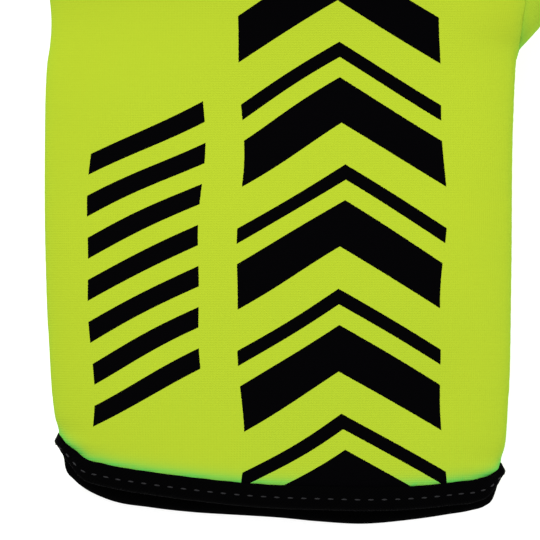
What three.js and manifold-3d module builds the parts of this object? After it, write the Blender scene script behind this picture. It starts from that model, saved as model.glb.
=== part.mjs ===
// A left-hand karting glove in stretch fabric, lying on its palm as it rests by itself.
// The fingers point along +Y, the thumb is on the +X side and Z is up. Lengths are in millimetres.
// The origin is on the resting plane, under the middle of the palm.
//
// The glove is a hollow shell: a cuff and hand tube, four finger tubes and a thumb tube are joined, and
// the same tubes drawn in by the fabric's thickness are cut away from them. The shell is then parted
// along its side seam into a back panel and a palm panel, and at the thumb's seam into a thumb panel.
import * as THREE from 'three';
import { mergeVertices } from 'three/addons/utils/BufferGeometryUtils.js';
import Module from 'manifold-3d';

const wasm = await Module();
wasm.setup();

// Fabric and fit
const fabricWall = 1.6;
const tapeWall = 0.8;
const pieceGap = 0.3;

// Cuff and hand
const cuffWidth = 97;
const cuffHeight = 25;
const handLength = 186; // lowest point of the hem to the finger webs
const palmFromHem = 122; // where the resting plane's origin lies
const pressedFlat = 2; // how far the round underside is flattened by the surface it lies on
const squareness = 2.5; // exponent of the cuff's rounded section, 2 for an ellipse
const knuckleShare = 0.89; // share of handLength where the hand starts to close between the fingers

// Fingers
const fingerLength = 103;
const fingerWidth = 27;
const fingerHeight = 17;
const tipShare = 0.5; // length of a round fingertip as a share of the finger's width
const tipBluntness = 2.2; // exponent of the fingertip's rounding, 2 for an ellipse
const thumbLength = 101;
const thumbWidth = 36;
const thumbHeight = 21;
const thumbSeamOut = 0.9; // how far the thumb's upright seam stands outside the hand's widest section

// Binding tape folded over the hem
const tapeWidth = 5;
const hemCornerRise = 10.7; // how far the hem climbs from the middle to the side folds
const backHem = { low: 3.1, sweep: 3.8, kickPower: 12, tilt: -0.066 }; // tilt is the rise for each mm across
const palmHem = { low: 0.1, sweep: 4.4, kickPower: 14, tilt: -0.03 };

// Facets
const handSides = 48;
const fingerSides = 16;
const wristStations = [0, 0.05, 0.12, 0.2, 0.28, 0.36, 0.44, 0.52];
const palmStations = [0.59, 0.66, 0.73, 0.8, 0.86, 0.91, 0.95, 0.98, 0.995];
const handStations = [...wristStations, ...palmStations];
const fingerStations = [0, 0.15, 0.3, 0.45, 0.6, 0.74, 0.86, 0.93, 0.97, 0.992];

// Sections of the cuff and hand. at is a share of handLength, left and right are shares of half the
// cuff's width, and top is a share of cuffHeight.
const handSections = [
  { at: 0.0, left: 0.925, right: 0.94, top: 0.9 },
  { at: 0.07, left: 0.94, right: 0.965, top: 0.95 },
  { at: 0.13, left: 0.968, right: 0.985, top: 0.98 },
  { at: 0.27, left: 1.002, right: 0.998, top: 1.0 },
  { at: 0.42, left: 1.004, right: 1.006, top: 0.97 },
  { at: 0.51, left: 0.998, right: 1.018, top: 0.95 },
  { at: 0.56, left: 0.975, right: 1.035, top: 0.96 },
  { at: 0.66, left: 1.0, right: 1.045, top: 1.03 },
  { at: 0.77, left: 1.045, right: 1.05, top: 1.02 },
  { at: 0.88, left: 1.07, right: 1.045, top: 0.93 },
  { at: 1.0, left: 1.08, right: 1.03, top: 0.82 },
];

// Height of the side seam. at is a share of the whole glove's length and up a share of cuffHeight.
const seamHeights = [
  { at: 0.0, up: 0.47 },
  { at: 0.2, up: 0.5 },
  { at: 0.4, up: 0.47 },
  { at: 0.6, up: 0.455 },
  { at: 0.72, up: 0.46 },
  { at: 0.86, up: 0.4 },
  { at: 1.0, up: 0.27 },
];

// across is a share of half the cuff's width, along of handLength, length of fingerLength and width of
// fingerWidth. heading is in degrees from +Y towards +X, and bend is how far the tip drifts off that line
// towards +X, as a share of fingerWidth.
const fingers = [
  { name: 'little', across: -0.82, along: 0.86, length: 0.71, width: 0.88, heading: -7, bend: 0.05 },
  { name: 'ring', across: -0.29, along: 0.88, length: 0.93, width: 0.97, heading: -4, bend: 0.06 },
  { name: 'middle', across: 0.255, along: 0.88, length: 1.0, width: 1.0, heading: 1, bend: 0.02 },
  { name: 'index', across: 0.79, along: 0.87, length: 0.92, width: 0.97, heading: 6, bend: -0.08 },
];
const thumb = { across: 0.6, along: 0.535, heading: 39, bend: 0.12, tipHeight: 0.44 };

// Girth along a finger. at is a share of its length, girth a share of its full width and height.
const fingerGirths = [
  { at: 0.0, girth: 0.98 },
  { at: 0.3, girth: 1.0 },
  { at: 0.7, girth: 0.95 },
  { at: 1.0, girth: 0.88 },
];
const thumbGirths = [
  { at: 0.0, girth: 0.92 },
  { at: 0.25, girth: 1.0 },
  { at: 0.7, girth: 0.84 },
  { at: 1.0, girth: 0.78 },
];

const widestRight = Math.max(...handSections.map(({ right }) => right));
const thumbSeamX = (widestRight * cuffWidth) / 2 + thumbSeamOut;
const middleFinger = fingers.find(({ name }) => name === 'middle');
const wholeLength = middleFinger.along * handLength + middleFinger.length * fingerLength;
const radians = THREE.MathUtils.degToRad;
const { lerp, smoothstep } = THREE.MathUtils;

// A smooth curve through the named columns of a table, read at a share between 0 and 1.
function curveThrough(rows, ...names) {
  const places = rows.map((row) => row.at);
  const values = rows.flatMap((row) => names.map((name) => row[name]));
  const curve = new THREE.CubicInterpolant(places, values, names.length);
  return (share) => Array.from(curve.evaluate(THREE.MathUtils.clamp(share, 0, 1)));
}

const handSectionAt = curveThrough(handSections, 'left', 'right', 'top');
const seamShareAt = curveThrough(seamHeights, 'up');
const fingerGirthAt = curveThrough(fingerGirths, 'girth');
const thumbGirthAt = curveThrough(thumbGirths, 'girth');

const seamHeight = (y) => seamShareAt(y / wholeLength)[0] * cuffHeight;

// One coordinate of a superellipse: the cosine or sine pushed outwards, its sign kept.
const squared = (value, power) => Math.sign(value) * Math.abs(value) ** (2 / power);

// The hem is lowest in the middle, sweeps up towards the sides and kicks up steeply at the folds.
function hemY(angle) {
  const across = Math.cos(angle);
  const side = Math.abs(across);
  const rise = ({ low, sweep, kickPower, tilt }) => {
    const kick = (hemCornerRise - low - sweep) * side ** kickPower;
    return low + sweep * side ** 2 + kick + (tilt * across * cuffWidth) / 2;
  };
  const backShare = smoothstep(Math.sin(angle), -0.45, 0.05);
  return lerp(rise(palmHem), rise(backHem), backShare);
}

// The tape needs room under the fabric at the hem, which fades out along the cuff.
const hemLift = (y) => (pieceGap + tapeWall) * (1 - smoothstep(y, tapeWidth * 2.2, tapeWidth * 5));

// A point of the hand tube's surface, moved outwards by spread.
function handPoint(angle, y, spread, closing = 1) {
  const [left, right, top] = handSectionAt(y / handLength);
  const across = Math.cos(angle);
  const up = Math.sin(angle);
  const reach = ((across < 0 ? left : right) * cuffWidth) / 2 + spread;
  const seam = seamHeight(y);
  const above = top * cuffHeight - seam + spread;
  const below = seam + pressedFlat + spread;
  const height = (up > 0 ? above : below) * squared(up, squareness);
  const z = Math.max(seam + closing * height, hemLift(y) - spread);
  return new THREE.Vector3(closing * reach * squared(across, squareness), y, z);
}

// Rings of points from one end of a tube to the other become a closed solid, with a fan at each end.
function tubeSolid(rings, start, end) {
  const sides = rings[0].length;
  const positions = [...rings.flat(), start, end].flatMap((point) => point.toArray());
  const faces = [];
  const startIndex = rings.length * sides;
  for (let side = 0; side < sides; side++) {
    const next = (side + 1) % sides;
    for (let ring = 0; ring < rings.length - 1; ring++) {
      const here = ring * sides;
      const beyond = here + sides;
      faces.push(here + side, beyond + side, beyond + next, here + side, beyond + next, here + next);
    }
    const last = (rings.length - 1) * sides;
    faces.push(startIndex, side, next, startIndex + 1, last + next, last + side);
  }
  return solidFrom(positions, faces);
}

// Positions and faces, or a three.js geometry, as a manifold-3d solid and back.
function solidFrom(positions, faces) {
  const vertProperties = new Float32Array(positions);
  const triVerts = new Uint32Array(faces);
  return new wasm.Manifold(new wasm.Mesh({ numProp: 3, vertProperties, triVerts }));
}

function solidFromGeometry(geometry) {
  const bare = geometry.clone();
  bare.deleteAttribute('normal');
  bare.deleteAttribute('uv');
  const merged = mergeVertices(bare.index ? bare.toNonIndexed() : bare, 1e-4);
  return solidFrom(merged.attributes.position.array, merged.index.array);
}

function geometryFromSolid(solid) {
  const { numProp, numVert, vertProperties, triVerts } = solid.getMesh();
  const positions = new Float32Array(numVert * 3);
  for (let vertex = 0; vertex < numVert; vertex++) {
    positions.set(vertProperties.subarray(vertex * numProp, vertex * numProp + 3), vertex * 3);
  }
  const geometry = new THREE.BufferGeometry();
  geometry.setAttribute('position', new THREE.BufferAttribute(positions, 3));
  geometry.setIndex(new THREE.BufferAttribute(triVerts, 1));
  const flat = geometry.toNonIndexed();
  flat.computeVertexNormals();
  return flat;
}

// The cuff and hand. The first two rings shape the mouth, and the others run from the tape's upper edge
// to the webs between the fingers.
function handTube(spread, mouthRings) {
  const webY = handLength + spread;
  const knuckleY = knuckleShare * handLength;
  const ringAt = (yAt, ringSpread = spread) =>
    Array.from({ length: handSides }, (_, side) => {
      const angle = (side / handSides) * 2 * Math.PI;
      const y = yAt(hemY(angle));
      const past = Math.max(0, (y - knuckleY) / (webY - knuckleY));
      return handPoint(angle, y, ringSpread, Math.sqrt(1 - past ** 2));
    });
  const rings = [
    ...mouthRings.map(({ up, at }) => ringAt((hem) => hem + up, at)),
    ...handStations.map((share) => ringAt((hem) => lerp(hem + tapeWidth, webY, share))),
  ];
  const mouthCentre = new THREE.Vector3(0, hemY(Math.PI / 2) + mouthRings[0].up, seamHeight(0));
  return tubeSolid(rings, mouthCentre, new THREE.Vector3(0, webY, seamHeight(webY)));
}

// A finger: elliptical rings along a gently bent line, closed by a round tip.
function fingerTube({ start, length, width, height, heading, bend, girthAt, heightAt }, spread) {
  const forward = new THREE.Vector3(Math.sin(heading), Math.cos(heading), 0);
  const aside = new THREE.Vector3(Math.cos(heading), -Math.sin(heading), 0);
  const fullLength = length + spread;
  const tipLength = width * tipShare;
  const centreAt = (share) => {
    const centre = start.clone().addScaledVector(forward, share * fullLength);
    centre.addScaledVector(aside, bend * share ** 2);
    return centre.setZ(heightAt(centre.y, share));
  };
  const rings = fingerStations.map((share) => {
    const pastTip = Math.max(0, (share * fullLength - (fullLength - tipLength)) / tipLength);
    const rounding = Math.sqrt(1 - pastTip ** tipBluntness);
    const halfWidth = ((width / 2) * girthAt(share)[0] + spread) * rounding;
    const halfHeight = ((height / 2) * girthAt(share)[0] + spread) * rounding;
    const centre = centreAt(share);
    return Array.from({ length: fingerSides }, (_, side) => {
      const angle = (side / fingerSides) * 2 * Math.PI;
      const point = centre.clone().addScaledVector(aside, halfWidth * Math.cos(angle));
      return point.setZ(Math.max(centre.z + halfHeight * Math.sin(angle), -spread));
    });
  });
  return tubeSolid(rings, centreAt(0), centreAt(1));
}

const fingerShapes = fingers.map(({ across, along, length, width, heading, bend }) => ({
  start: new THREE.Vector3((across * cuffWidth) / 2, along * handLength, 0),
  length: length * fingerLength,
  width: width * fingerWidth,
  height: width * fingerHeight,
  heading: radians(heading),
  bend: bend * fingerWidth,
  girthAt: fingerGirthAt,
  heightAt: (y) => seamHeight(y),
}));

const thumbStart = new THREE.Vector3((thumb.across * cuffWidth) / 2, thumb.along * handLength, 0);
const thumbShape = {
  start: thumbStart,
  length: thumbLength,
  width: thumbWidth,
  height: thumbHeight,
  heading: radians(thumb.heading),
  bend: -thumb.bend * fingerWidth,
  girthAt: thumbGirthAt,
  heightAt: (_, share) => lerp(seamHeight(thumbStart.y), thumb.tipHeight * thumbHeight, share ** 1.5),
};

// A slab that fills everything above the side seam's height, cut from a long profile across the glove.
function aboveSeam(lift) {
  const from = -cuffWidth;
  const to = wholeLength + cuffWidth;
  const steps = 24;
  const profile = new THREE.Shape();
  profile.moveTo(to, cuffHeight * 3);
  profile.lineTo(from, cuffHeight * 3);
  profile.lineTo(from, seamHeight(0) + lift);
  for (let step = 0; step <= steps; step++) {
    const y = (wholeLength * step) / steps;
    profile.lineTo(y, seamHeight(y) + lift);
  }
  profile.lineTo(to, seamHeight(wholeLength) + lift);
  const depth = cuffWidth * 4;
  const slab = new THREE.ExtrudeGeometry(profile, { depth, bevelEnabled: false });
  const acrossGlove = new THREE.Matrix4().makeBasis(
    new THREE.Vector3(0, 1, 0),
    new THREE.Vector3(0, 0, 1),
    new THREE.Vector3(1, 0, 0),
  );
  return solidFromGeometry(slab.applyMatrix4(acrossGlove).translate(-depth / 2, 0, 0));
}

// Everything on the thumb's side of its vertical seam.
function beyondThumbSeam(x) {
  const size = wholeLength * 3;
  const block = new THREE.BoxGeometry(size, size, size).translate(x + size / 2, 0, 0);
  return solidFromGeometry(block);
}

// The tape is one closed ring with a U-shaped section that holds the fabric's edge.
function bindingTape() {
  const outside = pieceGap + tapeWall;
  const inside = -fabricWall - pieceGap - tapeWall;
  const section = [
    { spread: outside, up: 0 },
    { spread: outside, up: tapeWidth },
    { spread: pieceGap, up: tapeWidth },
    { spread: pieceGap, up: tapeWall },
    { spread: -fabricWall - pieceGap, up: tapeWall },
    { spread: -fabricWall - pieceGap, up: tapeWidth },
    { spread: inside, up: tapeWidth },
    { spread: inside, up: 0 },
  ];
  const positions = [];
  const faces = [];
  for (let side = 0; side < handSides; side++) {
    const angle = (side / handSides) * 2 * Math.PI;
    const next = (side + 1) % handSides;
    section.forEach(({ spread, up }, corner) => {
      positions.push(...handPoint(angle, hemY(angle) + up, spread).toArray());
      const following = (corner + 1) % section.length;
      const [a, b] = [side * section.length, next * section.length];
      if (section[following].up > up) {
        faces.push(a + corner, a + following, b + following, a + corner, b + following, b + corner);
      } else {
        faces.push(a + corner, a + following, b + corner, a + following, b + following, b + corner);
      }
    });
  }
  return solidFrom(positions, faces);
}

// The fabric's edge is square, and the cavity runs out past it.
const fabricEdge = tapeWall + pieceGap;
const handSolid = handTube(0, [
  { up: fabricEdge, at: -fabricWall - pieceGap },
  { up: fabricEdge, at: 0 },
]);
const cavity = wasm.Manifold.union([
  handTube(-fabricWall, [
    { up: -tapeWidth, at: -fabricWall },
    { up: fabricEdge, at: -fabricWall },
  ]),
  ...fingerShapes.map((shape) => fingerTube(shape, -fabricWall)),
  fingerTube(thumbShape, -fabricWall),
]);
const thumbSolid = fingerTube(thumbShape, 0);
const handSide = thumbSolid.subtract(beyondThumbSeam(thumbSeamX - pieceGap / 2));
const thumbSide = thumbSolid.intersect(beyondThumbSeam(thumbSeamX + pieceGap / 2));
const fingerSolids = fingerShapes.map((shape) => fingerTube(shape, 0));
const handShell = wasm.Manifold.union([handSolid, handSide, ...fingerSolids]).subtract(cavity);

const fabric = new THREE.MeshStandardMaterial({ color: 0xbdd62e, roughness: 0.85, metalness: 0 });
const tape = new THREE.MeshStandardMaterial({ color: 0x0a0a0a, roughness: 0.9, metalness: 0 });

const glove = new THREE.Group();
glove.position.y = -palmFromHem;

function addPiece(name, solid, material) {
  const mesh = new THREE.Mesh(geometryFromSolid(solid), material);
  mesh.name = name;
  glove.add(mesh);
}

addPiece('back_panel', handShell.intersect(aboveSeam(pieceGap / 2)), fabric);
addPiece('palm_panel', handShell.subtract(aboveSeam(-pieceGap / 2)), fabric);
addPiece('thumb_panel', thumbSide.subtract(cavity), fabric);
addPiece('cuff_binding', bindingTape(), tape);

export default glove;
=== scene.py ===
# Left karting glove lying on its palm, seen from above with the cuff filling the picture.
# The sewn cloth panels, the tape round the hem and its stitches stand for the solids of the frame.
import bmesh
import bpy
import numpy as np
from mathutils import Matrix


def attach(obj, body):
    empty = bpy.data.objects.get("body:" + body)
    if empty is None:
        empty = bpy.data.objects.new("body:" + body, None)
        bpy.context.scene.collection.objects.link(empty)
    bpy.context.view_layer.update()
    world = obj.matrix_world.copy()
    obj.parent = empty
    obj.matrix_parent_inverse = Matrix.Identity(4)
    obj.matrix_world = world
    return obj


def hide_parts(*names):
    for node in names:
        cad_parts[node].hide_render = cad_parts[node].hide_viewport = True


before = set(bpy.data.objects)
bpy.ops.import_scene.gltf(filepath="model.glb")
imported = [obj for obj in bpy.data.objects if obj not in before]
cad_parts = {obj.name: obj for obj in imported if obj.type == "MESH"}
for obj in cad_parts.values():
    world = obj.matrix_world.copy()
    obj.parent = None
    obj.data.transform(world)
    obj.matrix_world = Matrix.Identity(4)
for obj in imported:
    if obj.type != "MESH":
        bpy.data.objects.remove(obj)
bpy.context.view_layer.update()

mm = 0.001
fullTurn = 2 * np.pi

# Shape of the glove. The y of these values counts from the hem's lowest point, and palmFromHem moves it into
# the frame.
hand = {
    'cuffWidth': 97 * mm,
    'cuffHeight': 25 * mm,
    'length': 186 * mm,
    'palmFromHem': 122 * mm,
    'pressedFlat': 2 * mm,  # how far the round underside is flattened
    'squareness': 2.5,  # 2 would be an ellipse
    'knuckleShare': 0.89,  # where the hand starts to close between the fingers
    'pastHem': 14 * mm,  # extra length that is cut off along the hem
    'sides': 220,
    'rings': 150,
    # shares of the length, of half the cuff's width and of its height
    'at': [0.0, 0.07, 0.13, 0.27, 0.42, 0.51, 0.56, 0.59, 0.66, 0.77, 0.88, 1.0],
    'left': [0.925, 0.94, 0.972, 1.005, 1.012, 1.003, 0.981, 0.994, 1.01, 1.045, 1.07, 1.08],
    'right': [0.94, 0.97, 0.994, 1.011, 1.018, 1.03, 1.045, 1.048, 1.05, 1.05, 1.045, 1.03],
    'top': [0.9, 0.95, 0.98, 1.0, 0.97, 0.95, 0.96, 0.985, 1.03, 1.02, 0.93, 0.82],
}
finger = {
    'length': 103 * mm,
    'width': 27 * mm,
    'height': 17 * mm,
    'tipShare': 0.5,
    'tipBluntness': 2.2,
    'sides': 72,
    'rings': 90,
    'girthAt': [0.0, 0.3, 0.7, 1.0],
    'girth': [0.98, 1.0, 0.95, 0.88],
}
fingers = [  # shares of half the cuff, of the hand's length, and of a finger's length and width
    {'across': -0.82, 'along': 0.86, 'length': 0.71, 'width': 0.88, 'heading': -7, 'bend': 0.05},
    {'across': -0.29, 'along': 0.88, 'length': 0.93, 'width': 0.97, 'heading': -4, 'bend': 0.06},
    {'across': 0.255, 'along': 0.88, 'length': 1.0, 'width': 1.0, 'heading': 1, 'bend': 0.02},
    {'across': 0.79, 'along': 0.87, 'length': 0.92, 'width': 0.97, 'heading': 6, 'bend': -0.08},
]
thumb = {
    'across': 0.6,
    'along': 0.535,
    'length': 101 * mm,
    'width': 36 * mm,
    'height': 21 * mm,
    'heading': 39,
    'bend': -0.12,
    'tipHeight': 0.44,
    'seamOut': 0.9 * mm,
    'girthAt': [0.0, 0.25, 0.7, 1.0],
    'girth': [0.92, 1.0, 0.84, 0.78],
    'zoneFrom': 40 * mm,  # nothing further in than this belongs to it
    'web': (52.3 * mm, 158 * mm, 0.45),  # a point between it and the hand, and how fast that line leans out
}
hem = {
    # shares of half the cuff, and how high the back's and the palm's hem is there in mm
    'at': [-1, -0.975, -0.95, -0.9, -0.8, -0.6, -0.4, -0.2, 0, 0.2, 0.4, 0.6, 0.8, 0.9, 0.95, 0.975, 1],
    'back': [13.6, 12.2, 10.8, 8.7, 7.4, 5.85, 4.65, 3.65, 3.0, 2.7, 2.5, 2.75, 3.6, 4.1, 4.9, 5.8, 7.4],
    'palm': [13.6, 9.8, 8.3, 6.4, 4.25, 2.6, 1.6, 1.05, 0.5, -0.35, -0.8, -0.05, 1.25, 2.1, 2.9, 3.9, 7.4],
    'turn': (-0.28, 0.05),  # where the palm's curve gives way to the back's round the fold, as sines
    'sectionAt': 0.045,  # share of the hand's length whose section places a point round the hem
    'tapeWidth': 5 * mm,
    'lift': 1.1 * mm,  # room for the tape under the cloth at the hem
    'liftFade': (2.2, 5),  # where that room runs out along the cuff, in tape widths
    'flatWithin': 0.4 * mm,  # cloth this close above that room counts as its flat underside
}
seam = {
    'at': [0.0, 0.2, 0.4, 0.6, 0.72, 0.86, 1.0],
    'up': [0.47, 0.5, 0.47, 0.455, 0.46, 0.4, 0.27],
    'halfGap': 0.02 * mm,
    'depth': 0.45 * mm,
    'width': 1.5 * mm,
    'from': (16 * mm, 30 * mm),  # where the groove of the side seam sets in above the hem
    'puff': 0.3,  # how far the cloth rises beside the groove, as a share of its depth
    'puffAt': 2.4,  # and how far from the seam, in widths
    'puckerPitch': 3.4 * mm,
    'puckerLean': 0.4,
    'puckerDepth': 0.06 * mm,
    'thumbDepth': 0.22 * mm,  # the thumb's seam lies flatter
    'thumbWidth': 1.0 * mm,
    'thumbBend': (0.13, 112 * mm, 14 * mm),  # its slope at the crotch, where that starts, and for how long
}
corner = {  # the hem's ends at the side seams
    'tilt': -0.066,  # the right end hangs lower than the left one
    'tuck': 1.2 * mm,  # how far the sides are drawn in under the tab
    'tuckLow': 0.35,  # share of it that is left at the hem's lowest part
    'tabLow': 11.7 * mm,
    'tabHigh': 14.0 * mm,
    'tabRise': 6 * mm,  # length below the tab over which the tuck grows
    'underDepth': 2 * mm,  # depth below the side seam at which the palm's side is fully drawn in
    'pinch': 0.6 * mm,  # how far the tape draws the cloth in at its upper edge
    'pinchAt': 15.8 * mm,
    'pinchWidth': 2.2 * mm,
    'side': (30 * mm, 45 * mm),
    'palmFade': (17 * mm, 34 * mm),
}
wholeLength = fingers[2]['along'] * hand['length'] + finger['length']
thumbSeamX = max(hand['right']) * hand['cuffWidth'] / 2 + thumb['seamOut']


def smoothstep(value, low, high):
    share = np.clip((value - low) / (high - low), 0, 1)
    return share * share * (3 - 2 * share)


# Through a table's values: each stretch is a cubic whose slope at a value is that of its neighbours' line.
def through(at, values, share):
    at, values = np.asarray(at), np.asarray(values)
    slope = np.gradient(values, at)
    share = np.clip(share, at[0], at[-1])
    i = np.clip(np.searchsorted(at, share) - 1, 0, len(at) - 2)
    span = at[i + 1] - at[i]
    t = (share - at[i]) / span
    start = (2 * t ** 3 - 3 * t ** 2 + 1) * values[i] + (t ** 3 - 2 * t ** 2 + t) * span * slope[i]
    return start + (3 * t ** 2 - 2 * t ** 3) * values[i + 1] + (t ** 3 - t ** 2) * span * slope[i + 1]


def seamHeight(y):
    return through(seam['at'], seam['up'], y / wholeLength) * hand['cuffHeight']


def squared(value):  # a cosine or sine pushed outwards, its sign kept
    return np.sign(value) * np.abs(value) ** (2 / hand['squareness'])


# Two curves across the cuff, the back's over the palm's, which meet at the folds where they kick up.
def hemY(across, up):
    back, palm = (through(hem['at'], hem[side], squared(across)) * mm for side in ('back', 'palm'))
    backShare = smoothstep(up, *hem['turn'])
    return palm * (1 - backShare) + back * backShare


def sectionAt(share):  # the hand's reach to the left and the right and its top, at a share of its length
    return (through(hand['at'], hand[side], share) for side in ('left', 'right', 'top'))


# A point of the hand: a superellipse across, flattened below, whose widths and height follow the tables.
def handPoint(angle, y, spread=0.0, closing=1.0):
    left, right, top = sectionAt(y / hand['length'])
    across, up = np.cos(angle), np.sin(angle)
    reach = np.where(across < 0, left, right) * hand['cuffWidth'] / 2 + spread
    middle = seamHeight(y)
    above = top * hand['cuffHeight'] - middle + spread
    below = middle + hand['pressedFlat'] + spread
    height = np.where(up > 0, above, below) * squared(up)
    full, gone = (widths * hem['tapeWidth'] for widths in hem['liftFade'])
    lift = hem['lift'] * (1 - smoothstep(y, full, gone))
    z = np.maximum(middle + closing * height, lift - spread)
    return np.stack(np.broadcast_arrays(closing * reach * squared(across), y, z), axis=-1)


# The hand's tube: the same sections from past the hem to the webs, closing there like a quarter ellipse.
def handTube():
    angle = np.linspace(0, fullTurn, hand['sides'], endpoint=False)[None, :]
    along = np.sin(np.linspace(0, np.pi / 2, hand['rings']))[:, None]
    y = -hand['pastHem'] + along * (hand['length'] + hand['pastHem'])
    knuckleY = hand['knuckleShare'] * hand['length']
    past = np.clip((y - knuckleY) / (hand['length'] - knuckleY), 0, 1)
    return handPoint(angle, y + 0 * angle, closing=np.sqrt(np.clip(1 - past ** 2, 1e-6, 1)))


# A finger's tube: ellipses along a straight line that drifts aside with the square of the way, ending round.
def fingerTube(shape):
    heading = np.radians(shape['heading'])
    forward = np.array([np.sin(heading), np.cos(heading), 0])
    aside = np.array([np.cos(heading), -np.sin(heading), 0])
    share = np.sin(np.linspace(0, np.pi / 2, finger['rings']))
    start = np.array([shape['across'] * hand['cuffWidth'] / 2, shape['along'] * hand['length'], 0])
    centre = start + forward * share[:, None] * shape['length'] + aside * (
        shape['bend'] * finger['width'] * share ** 2)[:, None]
    tipLength = shape['width'] * finger['tipShare']
    pastTip = np.clip((share * shape['length'] - (shape['length'] - tipLength)) / tipLength, 0, 1)
    rounding = np.sqrt(np.clip(1 - pastTip ** finger['tipBluntness'], 1e-6, 1))
    girth = through(shape['girthAt'], shape['girth'], share) * rounding
    if 'tipHeight' in shape:
        fromSeam = seamHeight(start[1])
        middle = fromSeam + (shape['tipHeight'] * shape['height'] - fromSeam) * share ** 1.5
    else:
        middle = seamHeight(centre[:, 1])
    angle = np.linspace(0, fullTurn, finger['sides'], endpoint=False)
    halfWidth = (girth * shape['width'] / 2)[:, None, None]
    halfHeight = (girth * shape['height'] / 2)[:, None]
    points = centre[:, None, :] + aside * halfWidth * np.cos(angle)[None, :, None]
    points[..., 2] = np.maximum(middle[:, None] + halfHeight * np.sin(angle), 0)
    return points


# Rings of points as one closed shell: quads between the rings and a fan of triangles at each end.
def shellFaces(rings):
    count, sides = rings.shape[:2]
    index = np.arange(count * sides).reshape(count, sides)
    turned = np.roll(index, -1, axis=1)
    quads = np.stack([index[:-1], index[1:], turned[1:], turned[:-1]], axis=-1).reshape(-1, 4)
    first, last = count * sides, count * sides + 1
    fans = [(first, a, b) for a, b in zip(index[0], turned[0])]
    fans += [(last, b, a) for a, b in zip(index[-1], turned[-1])]
    points = np.concatenate([rings.reshape(-1, 3), [rings[0].mean(axis=0), rings[-1].mean(axis=0)]])
    return points, quads.tolist() + [tuple(int(v) for v in fan) for fan in fans]


def newObject(name, points, faces):
    mesh = bpy.data.meshes.new(name)
    mesh.from_pydata(np.asarray(points).tolist(), [], faces)
    mesh.update()
    thing = bpy.data.objects.new(name, mesh)
    bpy.context.collection.objects.link(thing)
    return thing


def readPoints(mesh):
    points = np.empty(len(mesh.vertices) * 3)
    mesh.vertices.foreach_get('co', points)
    return points.reshape(-1, 3)


def writePoints(mesh, points):
    mesh.vertices.foreach_set('co', np.ascontiguousarray(points).ravel())
    mesh.update()


def readNormals(mesh):
    normals = np.empty(len(mesh.vertices) * 3)
    mesh.vertices.foreach_get('normal', normals)
    return normals.reshape(-1, 3)


def readEdges(mesh):
    edges = np.empty(len(mesh.edges) * 2, dtype=np.int64)
    mesh.edges.foreach_get('vertices', edges)
    return edges.reshape(-1, 2)


# Each round moves every point part of the way to the middle of its neighbours.
def relaxed(points, edges, rounds, strength=0.5):
    count = len(points)
    ends = np.concatenate([edges, edges[:, ::-1]])
    neighbours = np.bincount(ends[:, 0], minlength=count)[:, None]
    for _ in range(rounds):
        sums = [np.bincount(ends[:, 0], points[ends[:, 1], axis], count) for axis in range(3)]
        total = np.stack(sums, axis=1)
        points = points + strength * (total / np.maximum(neighbours, 1) - points)
    return points


def applyModifiers(thing):
    graph = bpy.context.evaluated_depsgraph_get()
    mesh = bpy.data.meshes.new_from_object(thing.evaluated_get(graph))
    thing.modifiers.clear()
    old, thing.data = thing.data, mesh
    bpy.data.meshes.remove(old)


def remeshed(thing, size):
    remesh = thing.modifiers.new('remesh', 'REMESH')
    remesh.mode = 'VOXEL'
    remesh.voxel_size = size
    applyModifiers(thing)


skin = {
    'voxel': 1.15 * mm,
    'wall': 1.6 * mm,
    'relaxRounds': 14,
    'relaxHem': 0.12,  # how far a round moves a point at the hem, as a share of the way
    'relaxHand': 0.38,  # and how much further on the hand
    'relaxFrom': (12 * mm, 40 * mm),
    'crotchKeep': 0.2,  # share of that which is left at the thumb's crotch, to keep it sharp
    'crotchReach': (3 * mm, 14 * mm),
    'foldRise': 9 * mm,  # height above the side seam at which the folds are full
    'edge': 1.5 * mm,  # from the hem to the cloth's own edge inside the tape
    'crestStep': 3 * mm,  # how closely the weave follows the crest of each tube
    'fingersFrom': 0.97,  # share of the hand's length where the weave turns into the fingers
    'fingerReach': 0.6,  # how far from a finger's line, in finger widths, it does so
}


# Soft folds of the cloth, each a long low swell: its height falls off across and along it as a bell curve.
# Each row gives its middle's x and y, y from the hem, its direction from +Y in degrees, its reach across and
# along, and its height, all else in mm.
folds = [
    (33, 47, -12, 8, 16, 0.7),
    (31, 26, 8, 8, 9, -0.5),
    (38, 70, 18, 9, 20, 0.6),
    (-36, 66, -8, 8, 18, -0.5),
    (-30, 22, 30, 10, 14, 0.6),
    (-4, 84, 60, 12, 26, -0.5),
    (-24, 116, 78, 4.5, 20, 1.0),  # across the wrist
    (-29, 124, 84, 3.5, 15, -0.9),
    (-20, 131, 70, 4, 19, 0.8),
    (8, 120, 96, 4, 16, 0.7),
    (33, 121, 62, 3.5, 15, 1.2),  # from the thumb's root
    (31, 130, 50, 3, 14, -1.0),
    (35, 137, 40, 3.5, 15, 1.1),
    (22, 146, 28, 4.5, 17, -0.7),
    (3, 143, 12, 6, 20, 0.6),  # between the knuckles
    (-14, 150, -4, 4, 15, -0.7),
    (13, 160, 3, 3.5, 12, -0.7),
    (-32, 152, -12, 4, 13, -0.7),
    (62, 136, 128, 3, 11, 0.8),  # across the thumb
    (66, 143, 134, 2.6, 10, -0.9),
    (77, 157, 126, 2.4, 9, 0.6),
    (80, 161, 131, 2.2, 9, -0.7),
]


# Cross creases at the finger joints: two narrow swells with a dip between them, at these shares of a finger.
joints = {
    'at': (0.34, 0.64),
    'spacing': 3.9,
    'fan': 9,  # degrees between neighbours
    'across': 2.0,
    'along': 9.5,
    'height': 0.75,
    'outer': 0.7,  # height of the swell nearer the fingertip, as a share of the other's
}


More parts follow.
